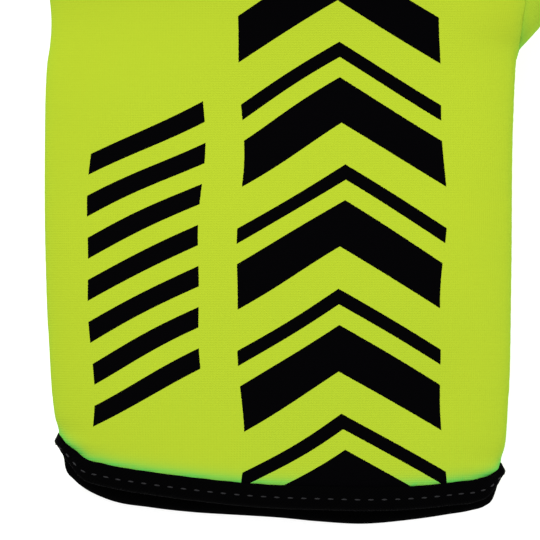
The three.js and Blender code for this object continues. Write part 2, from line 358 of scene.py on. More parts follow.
def jointFolds():
    for row in fingers:
        turn = np.radians(row['heading'])
        for share in joints['at']:
            for step, part in ((-1, 1), (0, -1), (1, joints['outer'])):
                way = share * row['length'] * finger['length'] / mm + step * joints['spacing']
                yield (
                    row['across'] * hand['cuffWidth'] / 2 / mm + way * np.sin(turn),
                    row['along'] * hand['length'] / mm + way * np.cos(turn),
                    row['heading'] + 90 + joints['fan'] * step,
                    joints['across'],
                    joints['along'] * row['width'],
                    joints['height'] * part,
                )


folds += jointFolds()


def foldHeight(x, y):
    total = np.zeros(np.broadcast(x, y).shape)
    for middleX, middleY, heading, halfAcross, halfAlong, height in folds:
        turn = np.radians(heading)
        dx, dy = x - middleX * mm, y - middleY * mm
        along = (dx * np.sin(turn) + dy * np.cos(turn)) / (halfAlong * mm)
        across = (dx * np.cos(turn) - dy * np.sin(turn)) / (halfAcross * mm)
        total += height * mm * np.exp(-along ** 2 - across ** 2)
    return total


# Cloth and tape are moved by the same swells, upwards on the back. Near the side seams the hem's lowest part
# and the palm's side are drawn in, which leaves the tape standing out above them as a small tab.
def withFolds(points):
    x, y, z = points.T
    middle = seamHeight(y)
    moved = points.copy()
    onBack = np.where(z > middle, smoothstep(z, middle, middle + skin['foldRise']), 0)
    moved[:, 2] += foldHeight(x, y) * onBack
    level = y - corner['tilt'] * x
    belowTab = smoothstep(level, corner['tabLow'] - corner['tabRise'], corner['tabLow'])
    tuck = 1 - smoothstep(level, corner['tabLow'], corner['tabHigh'])
    tuck *= corner['tuckLow'] + (1 - corner['tuckLow']) * belowTab
    underneath = smoothstep(middle - z, 0, corner['underDepth']) * belowTab
    underneath *= 1 - smoothstep(y, *corner['palmFade'])
    pinch = np.exp(-((level - corner['pinchAt']) / corner['pinchWidth']) ** 2)
    drawnIn = np.maximum(tuck, underneath) * corner['tuck'] + pinch * corner['pinch']
    moved[:, 0] -= np.sign(x) * drawnIn * smoothstep(np.abs(x), *corner['side'])
    moved[:, 2] = np.maximum(moved[:, 2], 0)
    return moved


wrinkles = {
    'voxel': 2.0 * mm,
    'scale': 10,  # the cloth solver works better on a larger copy
    'frames': 20,
    'heldCuff': (108 * mm, 128 * mm),
    'heldSeam': (1.0 * mm, 3.0 * mm),
    'relaxRounds': 3,
    'cap': 2.2 * mm,  # no point moves further than this
    'cell': 1.5 * mm,  # of the grid that carries the moves to the fine skin
    'cloth': {
        'quality': 6,
        'mass': 0.3,
        'tension_stiffness': 15,
        'compression_stiffness': 15,
        'shear_stiffness': 5,
        'bending_stiffness': 0.15,
        'bending_damping': 0.5,
        'shrink_min': -0.055,  # below nought it grows, by this share of each length
        'use_pressure': True,
        'uniform_pressure_force': 0.12,
        'vertex_group_mass': 'held',
    },
}


# The cloth solver grows a coarse copy of the skin while the cuff and the seams are held, and the spare cloth
# buckles into soft wrinkles. Returns the copy's points before and after.
def simulated(mesh):
    thing = copyOf(mesh, 'coarseSkin')
    remeshed(thing, wrinkles['voxel'])
    start = relaxed(readPoints(thing.data), readEdges(thing.data), wrinkles['relaxRounds'])
    writePoints(thing.data, start * wrinkles['scale'])
    held = 1 - smoothstep(start[:, 1], *wrinkles['heldCuff'])
    held = np.maximum(held, 1 - smoothstep(np.minimum(*fromSeams(start)), *wrinkles['heldSeam']))
    group = thing.vertex_groups.new(name='held')
    for tenth in range(11):
        group.add(np.flatnonzero(np.round(held * 10) == tenth).tolist(), tenth / 10, 'REPLACE')
    modifier = thing.modifiers.new('cloth', 'CLOTH')
    for name, value in wrinkles['cloth'].items():
        setattr(modifier.settings, name, value)
    modifier.settings.effector_weights.gravity = 0
    modifier.collision_settings.use_collision = False
    modifier.point_cache.frame_start = 1
    modifier.point_cache.frame_end = wrinkles['frames']
    for at in range(1, wrinkles['frames'] + 1):
        bpy.context.scene.frame_set(at)
    applyModifiers(thing)
    end = readPoints(thing.data) / wrinkles['scale']
    bpy.data.objects.remove(thing)
    bpy.context.scene.frame_set(1)
    return start, end


# Moves of scattered points, read at other points: each is spread over the grid's nodes near it by a bell
# curve, the nodes take the weighted mean, and points between them read it by straight shares along each axis.
def carried(start, moves, points):
    cell = wrinkles['cell']
    low = np.minimum(start.min(axis=0), points.min(axis=0)) - 3 * cell
    count = np.ceil((np.maximum(start.max(axis=0), points.max(axis=0)) - low) / cell).astype(int) + 4
    total, weight = np.zeros((*count, 3)), np.zeros(count)
    place = (start - low) / cell
    base = np.floor(place).astype(int)
    for step in np.ndindex(4, 4, 4):
        node = base + step - 1
        share = np.exp(-((place - node) ** 2).sum(axis=1))
        np.add.at(weight, tuple(node.T), share)
        np.add.at(total, tuple(node.T), share[:, None] * moves)
    grid = total / np.maximum(weight, 1e-9)[..., None]
    place = (points - low) / cell
    base = np.floor(place).astype(int)
    part = place - base
    result = np.zeros_like(points)
    for step in np.ndindex(2, 2, 2):
        share = np.prod(np.where(step, part, 1 - part), axis=1)
        result += share[:, None] * grid[tuple((base + step).T)]
    return result


# Moves the skin as the simulation moved its copy, each move eased to the cap by a hyperbolic tangent.
def addWrinkles(mesh):
    start, end = simulated(mesh)
    size = np.maximum(np.linalg.norm(end - start, axis=1), 1e-9)
    moves = (end - start) * (wrinkles['cap'] * np.tanh(size / wrinkles['cap']) / size)[:, None]
    points = readPoints(mesh)
    writePoints(mesh, points + carried(start, moves, points))
    print('wrinkles: %d coarse points, largest move %.1f mm' % (len(start), size.max() / mm))


# The tubes of the hand, the fingers and the thumb are joined by a voxel remesh and relaxed, wrinkled, cut off
# along the hem and given their folds.
def gloveSkin():
    tubes = [handTube()]
    for row in fingers:
        shape = dict(finger, **row)
        shape['length'] = row['length'] * finger['length']
        shape['width'] = row['width'] * finger['width']
        shape['height'] = row['width'] * finger['height']
        tubes.append(fingerTube(shape))
    tubes.append(fingerTube(thumb))
    points, faces = [], []
    for rings in tubes:
        some, theirFaces = shellFaces(rings)
        start = sum(len(part) for part in points)
        points.append(some)
        faces += [tuple(v + start for v in face) for face in theirFaces]
    thing = newObject('gloveSkin', np.concatenate(points), faces)
    remeshed(thing, skin['voxel'])
    mesh = thing.data
    points = readPoints(mesh)
    fromCrotch = np.linalg.norm(points[:, :2] - [thumbSeamX, thumb['along'] * hand['length']], axis=1)
    strength = skin['relaxHem'] + skin['relaxHand'] * smoothstep(points[:, 1], *skin['relaxFrom'])
    strength *= smoothstep(fromCrotch, *skin['crotchReach']) * (1 - skin['crotchKeep']) + skin['crotchKeep']
    writePoints(mesh, relaxed(points, readEdges(mesh), skin['relaxRounds'], strength[:, None]))
    addWrinkles(mesh)
    cutAlong(mesh, lambda p: hemUnder(p) + skin['edge'], 1, 'above')
    writePoints(mesh, withFolds(readPoints(mesh)))
    print('skin: %d points' % len(mesh.vertices))
    return thing


# Cuts a mesh along a surface: the points are shifted back along one axis by the field, so that the cut is a
# plane there, and shifted forth again afterwards. The field may not depend on the shifted axis.
def cutAlong(mesh, field, axis, keep, faceMask=None):
    points = readPoints(mesh)
    points[:, axis] -= field(points)
    writePoints(mesh, points)
    work = bmesh.new()
    work.from_mesh(mesh)
    work.faces.ensure_lookup_table()
    normal = [0, 0, 0]
    normal[axis] = 1
    chosen = work.faces[:] if faceMask is None else [work.faces[i] for i in np.flatnonzero(faceMask)]
    edges = {edge for face in chosen for edge in face.edges}
    corners = {corner for face in chosen for corner in face.verts}
    bmesh.ops.bisect_plane(
        work, geom=[*chosen, *edges, *corners], dist=1e-7, plane_co=(0, 0, 0), plane_no=normal,
        clear_outer=keep == 'below', clear_inner=keep == 'above')
    work.to_mesh(mesh)
    work.free()
    points = readPoints(mesh)
    points[:, axis] += field(points)
    writePoints(mesh, points)


def faceCentres(mesh):
    centres = np.empty(len(mesh.polygons) * 3)
    mesh.polygons.foreach_get('center', centres)
    return centres.reshape(-1, 3)


# The hem's height under a point of the cuff. The point's angle round the section comes from its shares of the
# section's reach and height, or from its share of the reach alone where the underside is flattened.
def hemUnder(points):
    x, z = points[:, 0], points[:, 2]
    middle = seamHeight(0)
    left, right, top = sectionAt(hem['sectionAt'])
    reach = np.where(x < 0, left, right) * hand['cuffWidth'] / 2
    height = np.where(z > middle, top * hand['cuffHeight'] - middle, middle + hand['pressedFlat'])
    outward = np.clip(np.abs(x) / reach, 0, 1) ** (hand['squareness'] / 2)
    upward = np.abs((z - middle) / height) ** (hand['squareness'] / 2)
    flat = z < hem['lift'] + hem['flatWithin']
    across = np.where(flat, outward, outward / np.sqrt(outward ** 2 + upward ** 2))
    return hemY(np.sign(x) * across, np.sign(z - middle) * np.sqrt(1 - across ** 2))


def thumbSeamAt(y):  # straight along the hand, and bent inwards where it runs out at the crotch
    slope, start, reach = seam['thumbBend']
    return thumbSeamX - slope * np.clip(start - y, 0, reach)


def thumbZone(points):  # the side of the glove that the thumb's seam runs through
    webX, webY, lean = thumb['web']
    x, y = points[:, 0], points[:, 1]
    return (x > thumb['zoneFrom']) & ((y < webY) | (x > webX + lean * (y - webY)))


def onThumb(points):
    return thumbZone(points) & (points[:, 0] > thumbSeamAt(points[:, 1]))


def fromSeams(points):  # distances from the side seam and the thumb's, or a metre where there is none
    x, y, z = points.T
    side = np.where(onThumb(points), 1, np.abs(z - seamHeight(y)))
    upright = np.where(thumbZone(points), np.abs(x - thumbSeamAt(y)), 1)
    return side, upright


# Sewn seams pull the cloth in along a narrow groove that deepens and shallows from stitch to stitch.
def sewSeams(mesh):
    points = readPoints(mesh)
    y, z = points[:, 1], points[:, 2]
    side, upright = fromSeams(points)
    pucker = seam['puckerDepth'] * np.sin(fullTurn * (y + seam['puckerLean'] * z) / seam['puckerPitch'])
    pull = (seam['depth'] + pucker) * smoothstep(y, *seam['from'])
    pull *= np.exp(-(side / seam['width']) ** 2)
    pull += (seam['thumbDepth'] + pucker) * np.exp(-(upright / seam['thumbWidth']) ** 2)
    beside = (side - seam['puffAt'] * seam['width']) / seam['width']
    puff = seam['puff'] * seam['depth'] * np.exp(-beside ** 2)
    points += readNormals(mesh) * (puff - pull)[:, None]
    points[:, 2] = np.maximum(points[:, 2], 0)
    writePoints(mesh, points)


def copyOf(mesh, name):
    thing = bpy.data.objects.new(name, mesh.copy())
    bpy.context.collection.objects.link(thing)
    return thing


def dropFaces(mesh, mask):
    work = bmesh.new()
    work.from_mesh(mesh)
    work.faces.ensure_lookup_table()
    bmesh.ops.delete(work, geom=[work.faces[i] for i in np.flatnonzero(mask)], context='FACES')
    bmesh.ops.delete(work, geom=[point for point in work.verts if not point.link_faces], context='VERTS')
    work.to_mesh(mesh)
    work.free()


tape = {
    'thick': 0.8 * mm,
    'spread': 0.5 * mm,  # how far the middle of its thickness stands off the cloth's outer face
    'step': 0.6 * mm,
    'wave': 0.07 * mm,
    'tabTaper': 0.75 * mm,  # how far the top of the tape is laid in at the folds
    'wavePitch': 5.4 * mm,
    'arcPoints': 12,
    'waveUp': 0.4,  # how much of the wave also shows at the tape's edges
    'foldAt': (0.93, 0.995),  # where the side folds set in, as shares of half the cuff
    'taperFrom': 0.55,  # share of the tape's width over which the taper starts
}
stitch = {
    'pitch': 2.7 * mm,
    'fromTop': (1.7 * mm, 2.6 * mm),  # on the palm and on the back
    'turn': (-0.7, 0.2),  # where one gives way to the other round the fold, as sines
    'half': [0.62 * mm, 0.17 * mm, 0.15 * mm],  # along, across and out of the tape
    'around': 8,
    'bands': 7,
}


# Angles at even steps of length round the hem, from a fine walk round it.
def evenAngles(step):
    fine = np.linspace(0, fullTurn, 6001)
    points = handPoint(fine, hemY(np.cos(fine), np.sin(fine)))
    length = np.concatenate([[0], np.cumsum(np.linalg.norm(np.diff(points, axis=0), axis=1))])
    count = int(round(length[-1] / step))
    return np.interp(np.arange(count) / count * length[-1], length, fine), length[-1]


def hemPoint(angle, up, spread):  # a point of the tape, moved by the cloth's folds too
    y = hemY(np.cos(angle), np.sin(angle)) + up
    points = handPoint(angle, y, spread)
    return withFolds(points.reshape(-1, 3)).reshape(points.shape)


# How far round a tube a point lies: its way across, plus its way down from the tube's crest, which is the
# highest point of each short stretch.
def roundTube(across, along, z, fromBelow):
    slot = np.floor(along / skin['crestStep']).astype(int)
    slot -= slot.min()
    crest = np.full(slot.max() + 1, -1.0)
    np.maximum.at(crest, slot, z)
    used = np.flatnonzero(crest > -1)
    place = (along - along.min()) / skin['crestStep']
    down = z if fromBelow else np.interp(place, used + 0.5, crest[used]) - z
    return across + np.sign(across) * down


# The weave map: the threads run up the hand and its fingers, and up the thumb on the thumb's own cloth.
def weavePlaces(points, fromBelow):
    x, y, z = points.T
    around, along = x + np.sign(x) * z, y.copy()
    rest = np.ones(len(points), dtype=bool)
    for row in fingers:
        lineX = row['across'] * hand['cuffWidth'] / 2 + (
            y - row['along'] * hand['length']) * np.tan(np.radians(row['heading']))
        near = (y > skin['fingersFrom'] * hand['length']) & rest
        near &= np.abs(x - lineX) < finger['width'] * skin['fingerReach']
        rest &= ~near
        if near.any():
            around[near] = lineX[near] + roundTube((x - lineX)[near], y[near], z[near], fromBelow)
    turn = np.radians(thumb['heading'])
    dx, dy = x - thumb['across'] * hand['cuffWidth'] / 2, y - thumb['along'] * hand['length']
    ofThumb = onThumb(points)
    if ofThumb.any():
        along[ofThumb] = (dx * np.sin(turn) + dy * np.cos(turn))[ofThumb]
        across = (dx * np.cos(turn) - dy * np.sin(turn))[ofThumb]
        around[ofThumb] = roundTube(across, along[ofThumb], z[ofThumb], False)
    rest &= ~ofThumb
    if rest.any():
        around[rest] = roundTube(x[rest], y[rest], z[rest], fromBelow)
    return around, along


uvUnit = 100 * mm  # length of one unit of the UV maps
wander = {  # waves of the print: size, length, how they slant, and where they start
    'across': [(0.7 * mm, 62 * mm, 30, -30 * mm), (0.3 * mm, 29 * mm, 60, 6 * mm)],
    'along': [(0.35 * mm, 48 * mm, 40, 0)],
}
paintedShadeTone = {  # painted shade: how far the cloth turns to the shade's green, from 0 to 1
    'sideSeam': 0.75,
    'sideWidth': 1 * mm,
    'thumbSeam': 0.25,
    'thumbWidth': 2 * mm,
    'crotch': 0.3,  # more painted shade at the crotch, between these heights
    'crotchFade': (99 * mm, 107 * mm),
    'handSide': 0.15,  # painted shade on the hand's side of the thumb's seam
    'thumb': 0.15,  # painted shade all over the thumb
    'cuff': 0.05,  # more green towards the hem
    'cuffFade': (5 * mm, 75 * mm),
    'flank': 0.3,  # painted shade where the cloth turns down, from its normal
    'overTapeTo': 30 * mm,  # the painted shade line over the tape is worked out up to here
    'noTape': 50 * mm,  # distance from the tape that is given above that
}


# The sum of sine waves along one way, which a slant turns a little with the other way.
def waveSum(waves, way, other):
    return sum(
        size * np.sin(fullTurn * (way + start) / length + slant * other)
        for size, length, slant, start in waves)


# Two UV maps from the hem and the middle line, and two attributes for the cloth's painted shade: its share,
# and the distance over the tape. The print wanders a little, as ink does on cloth that isn't quite flat.
def addMaps(mesh, fromBelow):
    points = readPoints(mesh)
    x, y, _ = points.T
    printed = (x + waveSum(wander['across'], y, x), y + waveSum(wander['along'], x, y))
    loops = np.empty(len(mesh.loops), dtype=np.int64)
    mesh.loops.foreach_get('vertex_index', loops)
    for name, pair in (('weave', weavePlaces(points, fromBelow)), ('print', printed)):
        layer = mesh.uv_layers.new(name=name)
        layer.data.foreach_set('uv', (np.stack(pair, axis=1)[loops] / uvUnit).astype(np.float32).ravel())
    overTape = np.full(len(points), paintedShadeTone['noTape'])
    low = np.flatnonzero(y < paintedShadeTone['overTapeTo'])
    edge = hemPoint(evenAngles(tape['step'])[0], hem['tapeWidth'], tape['spread'])
    overTape[low] = np.sqrt(((points[low, None] - edge[None]) ** 2).sum(axis=2).min(axis=1))
    # the share of painted shade, and the distance over the tape that places the painted shade line along it
    values = {'paintedShade': paintedShadeShare(mesh, points), 'overTape': overTape / mm}
    for name, value in values.items():
        attribute = mesh.attributes.new(name, 'FLOAT', 'POINT')
        attribute.data.foreach_set('value', value.astype(np.float32))


# Painted shade: the greatest of the shades at the seams and on the thumb, which fall off with distance as a
# bell curve or an exponential, plus that towards the hem and that on the flanks, from the normal.
def paintedShadeShare(mesh, points):
    y = points[:, 1]
    side, upright = fromSeams(points)
    ofThumb = onThumb(points)
    thumbSeam = paintedShadeTone['thumbSeam'] + paintedShadeTone['crotch'] * (1 - smoothstep(y, *paintedShadeTone['crotchFade']))
    paintedShade = np.max([
        paintedShadeTone['sideSeam'] * np.exp(-(side / paintedShadeTone['sideWidth']) ** 2),
        thumbSeam * np.exp(-upright / paintedShadeTone['thumbWidth']) * ofThumb,
        paintedShadeTone['handSide'] * np.exp(-upright / paintedShadeTone['sideWidth']),
        paintedShadeTone['thumb'] * ofThumb,
    ], axis=0)
    paintedShade += paintedShadeTone['cuff'] * (1 - smoothstep(y, *paintedShadeTone['cuffFade']))
    return paintedShade + paintedShadeTone['flank'] * (1 - np.abs(readNormals(mesh)[:, 2])) ** 1.5


def finishPanel(thing, fromBelow, outside, inside):
    mesh = thing.data
    addMaps(mesh, fromBelow)
    points = readPoints(mesh)
    points[:, 1] -= hand['palmFromHem']
    writePoints(mesh, points)
    mesh.materials.append(outside)
    mesh.materials.append(inside)
    wall = thing.modifiers.new('wall', 'SOLIDIFY')
    wall.thickness = skin['wall']
    wall.offset = -1
    wall.material_offset = 1
    wall.material_offset_rim = 1
    applyModifiers(thing)
    thing.data.shade_smooth()
    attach(thing, 'root')
    print('%s: %d faces' % (thing.name, len(thing.data.polygons)))


# The thumb's cloth is cut off at its own seam, and the rest is parted at the side seam into back and palm.
def makePanels(skinThing, outside, inside):
    mesh = skinThing.data
    sewSeams(mesh)
    thumbThing = copyOf(mesh, 'thumbCloth')
    thumbMesh = thumbThing.data
    zone = thumbZone(faceCentres(mesh))
    cutAlong(thumbMesh, lambda p: thumbSeamAt(p[:, 1]) + seam['halfGap'], 0, 'above', zone)
    dropFaces(thumbMesh, ~onThumb(faceCentres(thumbMesh)))

    cutAlong(mesh, lambda p: thumbSeamAt(p[:, 1]) - seam['halfGap'], 0, 'below', zone)
    dropFaces(mesh, onThumb(faceCentres(mesh)))
    backThing, palmThing = copyOf(mesh, 'backCloth'), copyOf(mesh, 'palmCloth')
    cutAlong(backThing.data, lambda p: seamHeight(p[:, 1]) + seam['halfGap'], 2, 'above')
    cutAlong(palmThing.data, lambda p: seamHeight(p[:, 1]) - seam['halfGap'], 2, 'below')
    bpy.data.objects.remove(skinThing)

    finishPanel(backThing, False, outside, inside)
    finishPanel(palmThing, True, inside, inside)
    finishPanel(thumbThing, False, inside, inside)
    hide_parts('back_panel')
    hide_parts('palm_panel')
    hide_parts('thumb_panel')


# The tape's section: a U of constant thickness round the cloth's edge, with rounded ends.
def tapeSection():
    outer, inner = tape['spread'], -skin['wall'] - tape['spread']
    radius, middle = (outer - inner) / 2, (outer + inner) / 2
    bottom = radius + tape['thick'] / 2
    top = hem['tapeWidth'] - tape['thick'] / 2
    legs = np.linspace(top, bottom, 7)
    bend = np.linspace(0, np.pi, tape['arcPoints'])[1:-1]
    centre = np.concatenate([
        np.stack([np.full(7, outer), legs], axis=1),
        np.stack([middle + radius * np.cos(bend), bottom - radius * np.sin(bend)], axis=1),
        np.stack([np.full(7, inner), legs[::-1]], axis=1),
    ])
    along = np.gradient(centre, axis=0)
    along /= np.linalg.norm(along, axis=1)[:, None]
    aside = np.stack([-along[:, 1], along[:, 0]], axis=1) * tape['thick'] / 2
    cap = np.linspace(0, np.pi, 6)[1:-1, None]
    startCap = centre[0] + aside[0] * -np.cos(cap) - along[0] * tape['thick'] / 2 * np.sin(cap)
    endCap = centre[-1] + aside[-1] * np.cos(cap) + along[-1] * tape['thick'] / 2 * np.sin(cap)
    return np.concatenate([startCap, centre + aside, endCap, (centre - aside)[::-1]])


# The section is carried round the hem with a slight wave, and its outer leg's top is laid in at the folds.
def makeTape(material):
    angles, length = evenAngles(tape['step'])
    section = tapeSection()
    distance = np.arange(len(angles)) / len(angles) * length
    waves = np.round(length / tape['wavePitch'])
    ripple = tape['wave'] * np.sin(fullTurn * waves * distance / length)
    spread = section[None, :, 0] + ripple[:, None] * np.sign(section[None, :, 0] + skin['wall'] / 2)
    up = section[None, :, 1] + tape['waveUp'] * ripple[:, None] * (section[None, :, 1] / hem['tapeWidth'])
    atFold = smoothstep(np.abs(np.cos(angles)), *tape['foldAt'])[:, None]
    atTop = smoothstep(up, tape['taperFrom'] * hem['tapeWidth'], hem['tapeWidth'])
    spread = spread - tape['tabTaper'] * atFold * atTop * (section[None, :, 0] > 0)
    rings = hemPoint(angles[:, None] + 0 * up, up, spread)
    rings[..., 1] -= hand['palmFromHem']
    count, sides = rings.shape[:2]
    index = np.arange(count * sides).reshape(count, sides)
    ahead, beside = np.roll(index, -1, axis=0), np.roll(index, -1, axis=1)
    both = np.roll(ahead, -1, axis=1)
    faces = np.stack([index, ahead, both, beside], axis=-1).reshape(-1, 4)
    thing = newObject('hemTape', rings.reshape(-1, 3), faces.tolist())
    mesh = thing.data
    gaps = np.linalg.norm(np.diff(section, axis=0, append=section[:1]), axis=1)
    across = np.concatenate([[0], np.cumsum(gaps)])
    step = length / count
    u = np.arange(count)[:, None] * step + np.array([0, step, step, 0])
    corners = np.stack([across[:-1], across[:-1], across[1:], across[1:]], axis=1)
    uv = np.empty((count, sides, 4, 2), dtype=np.float32)
    uv[..., 0] = u[:, None, :] / uvUnit
    uv[..., 1] = corners[None, :, :] / uvUnit
    mesh.uv_layers.new(name='weave').data.foreach_set('uv', uv.ravel())
    mesh.materials.append(material)
    mesh.shade_smooth()
    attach(thing, 'root')
    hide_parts('cuff_binding')
    print('tape: %d faces' % len(mesh.polygons))


# One stitch is a small ellipsoid; copies lie along the tape on its outer and inner leg, each in the frame of
# the tape's run, its rise and their cross product.
def makeStitches(material):
    angles, _ = evenAngles(stitch['pitch'])
    palm, back = stitch['fromTop']
    up = hem['tapeWidth'] - palm - (back - palm) * smoothstep(np.sin(angles), *stitch['turn'])
    lap = np.linspace(0, fullTurn, stitch['around'], endpoint=False)
    lap, fromEnd = np.meshgrid(lap, np.linspace(0, np.pi, stitch['bands'])[1:-1])
    unit = np.stack([np.cos(fromEnd), np.sin(fromEnd) * np.cos(lap), np.sin(fromEnd) * np.sin(lap)], axis=-1)
    local, unitFaces = shellFaces(unit)
    local[-2:] = [[1, 0, 0], [-1, 0, 0]]
    local = local * stitch['half']
    points, faces = [], []
    nudge = 0.01  # angle either way from which the tape's run is taken
    onOuter = tape['spread'] + tape['thick'] / 2
    for spread in (onOuter, -skin['wall'] - onOuter):
        at = hemPoint(angles, up, spread)
        run = hemPoint(angles + nudge, up, spread) - hemPoint(angles - nudge, up, spread)
        rise = hemPoint(angles, up + mm, spread) - at
        run /= np.linalg.norm(run, axis=1)[:, None]
        out = np.cross(run, rise)
        out /= np.linalg.norm(out, axis=1)[:, None]
        rise = np.cross(out, run)
        some = at[:, None] + run[:, None] * local[None, :, :1] + rise[:, None] * local[None, :, 1:2]
        some += out[:, None] * local[None, :, 2:]
        start = sum(len(part) for part in points)
        points.append(some.reshape(-1, 3))
        for i in range(len(angles)):
            faces += [tuple(v + start + i * len(local) for v in face) for face in unitFaces]
    points = np.concatenate(points)
    points[:, 1] -= hand['palmFromHem']
    points[:, 2] = np.maximum(points[:, 2], 0)
    thing = newObject('hemStitches', points, faces)
    thing.data.materials.append(material)
    thing.data.shade_smooth()
    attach(thing, 'root')
    print('stitches: %d faces' % len(thing.data.polygons))


# A socket's value that can stand in sums.
class Wire:
    def __init__(self, paint, socket):
        self.paint, self.socket = paint, socket

    def maths(self, operation, *values):
        return self.paint.add('ShaderNodeMath', {'operation': operation}, dict(enumerate(values)))

    def __add__(self, other):
        return self.maths('ADD', self, other)

    def __sub__(self, other):
        return self.maths('SUBTRACT', self, other)

    def __rsub__(self, other):
        return self.maths('SUBTRACT', other, self)

    def __mul__(self, other):
        return self.maths('MULTIPLY', self, other)

    __radd__, __rmul__ = __add__, __mul__

    def __mod__(self, other):
        return self.maths('FLOORED_MODULO', self, other)

    def __lt__(self, other):
        return self.maths('LESS_THAN', self, other)

    def __gt__(self, other):
        return self.maths('GREATER_THAN', self, other)

    def __abs__(self):
        return self.maths('ABSOLUTE', self)

    def sine(self):
        return self.maths('SINE', self)

    def exp(self):
        return self.maths('EXPONENT', self)

    def atLeast(self, other):
        return self.maths('MAXIMUM', self, other)

    def atMost(self, other):
        return self.maths('MINIMUM', self, other)


class Paint:  # one material and its nodes
    def __init__(self, name):
        self.material = bpy.data.materials.new(name)
        self.material.use_nodes = True
        self.tree = self.material.node_tree
        self.tree.nodes.clear()

    def node(self, kind, settings, inputs):
        node = self.tree.nodes.new(kind)
        for key, value in settings.items():
            setattr(node, key, value)
        for key, value in inputs.items():
            if isinstance(value, Wire):
                self.tree.links.new(value.socket, node.inputs[key])
            else:
                node.inputs[key].default_value = value
        return node

    def add(self, kind, settings={}, inputs={}, output=0):
        return Wire(self, self.node(kind, settings, inputs).outputs[output])

    def mixed(self, factor, first, second):  # colours only
        pair = [value if isinstance(value, Wire) else (*value, 1) for value in (first, second)]
        return self.add('ShaderNodeMix', {'data_type': 'RGBA'}, {0: factor, 6: pair[0], 7: pair[1]}, output=2)

    def mapOf(self, name):  # a UV map's vector and its two values in mm
        place = self.add('ShaderNodeUVMap', {'uv_map': name})
        parts = self.node('ShaderNodeSeparateXYZ', {}, {0: place})
        u, v = (Wire(self, parts.outputs[i]) * (uvUnit / mm) for i in (0, 1))
        return place, u, v

    def noise(self, place, scale, detail=2.0):
        return self.add('ShaderNodeTexNoise', {}, {'Vector': place, 'Scale': scale, 'Detail': detail})

    def bump(self, height, strength, distance):
        return self.add('ShaderNodeBump', {}, {'Strength': strength, 'Distance': distance, 'Height': height})

    def finish(self, sockets):
        shader = self.add('ShaderNodeBsdfPrincipled', {}, sockets)
        self.node('ShaderNodeOutputMaterial', {}, {'Surface': shader})
        return self.material


clothPaint = {
    'bright': (0.44, 0.572, 0.026),
    # 'bright' is the cloth's own colour; the next two are painted shade: a line along the tape's edge and the
    # green that shaded cloth turns to
    'line': (0.12, 0.60, 0.09),
    'paintedShade': (0.10, 0.50, 0.055),
    'ink': (0.0008, 0.0007, 0.0011),
    'lineWidth': 0.85,  # how far the painted shade line over the tape reaches, mm
    'lineStrength': 1.8,  # above 1 it stays full for a short way
    'cloud': 0.1,  # how much soft patches, at random, vary the mix towards the painted shade's green
    'cloudScale': 32,
    'loopPitch': 0.62,  # mm between columns of knitted loops
    'rowPitch': 0.5,
    'rowShift': 2.2,  # how far each column bends its rows, in radians
    'fuzzScale': 160,
    'knitMiddle': 0.75,  # the knit's height at which it adds no shade
    'knitShade': 0.045,  # painted shade: how much greener the hollows between the loops are
    'roughness': 0.86,
    'bump': 0.3,
    'bumpHeight': 0.2 * mm,
    'inkSmoother': 0.16,  # how much less rough the ink is
    'inkFilling': 0.5,  # and how much of the knit it fills
    'edgeRoughness': 0.05,  # how ragged its edges are, mm
    'edgeScale': 420,
}
chevrons = {  # in mm from the middle line and the hem
    'middle': 13.0,
    'half': 21.0,
    'slope': 0.6,
    'first': 6.0,
    'pitch': 25.5,
    'thick': 9.5,
    'gap': 4.2,
    'thin': 3.2,
    'count': 6,
}
bars = {
    'middle': -27.5,
    'half': 11.5,
    'lean': 0.5,
    'first': 26.0,
    'pitch': 8.6,
    'thick': 4.3,
    'count': 7,
}


# A column of chevrons, thick and thin in turn, and a column of slanted bars. Both repeat with the climb: the
# height, shifted in proportion to the distance from the column's middle.
def printMask(paint):
    place, u, v = paint.mapOf('print')
    ragged = (paint.noise(place, clothPaint['edgeScale']) - 0.5) * (4 * clothPaint['edgeRoughness'])
    u, v = u + ragged, v + ragged

    fromMiddle = abs(u - chevrons['middle'])
    climb = v + chevrons['slope'] * fromMiddle - chevrons['first']
    within = climb % chevrons['pitch']
    thinStart = chevrons['thick'] + chevrons['gap']
    bands = (within < chevrons['thick']) + (within > thinStart) * (within < thinStart + chevrons['thin'])
    arrows = bands * (fromMiddle < chevrons['half']) * (climb < chevrons['pitch'] * chevrons['count'])

    aside = u - bars['middle']
    climb = v - bars['lean'] * aside - bars['first']
    column = (climb > 0) * (climb < bars['pitch'] * bars['count'])
    slants = (climb % bars['pitch'] < bars['thick']) * (abs(aside) < bars['half']) * column
    return arrows.atLeast(slants)


# Fine knit: columns and rows of loops from two waves, broken up by a noise, on the weave map.
def knitHeight(paint):
    place, u, v = paint.mapOf('weave')
    columns = abs((u * (np.pi / clothPaint['loopPitch'])).sine())
    rows = (v * (fullTurn / clothPaint['rowPitch']) + columns * clothPaint['rowShift']).sine()
    fuzz = paint.noise(place, clothPaint['fuzzScale'], 3)
    return columns * 0.6 + rows * 0.25 + fuzz * 0.8


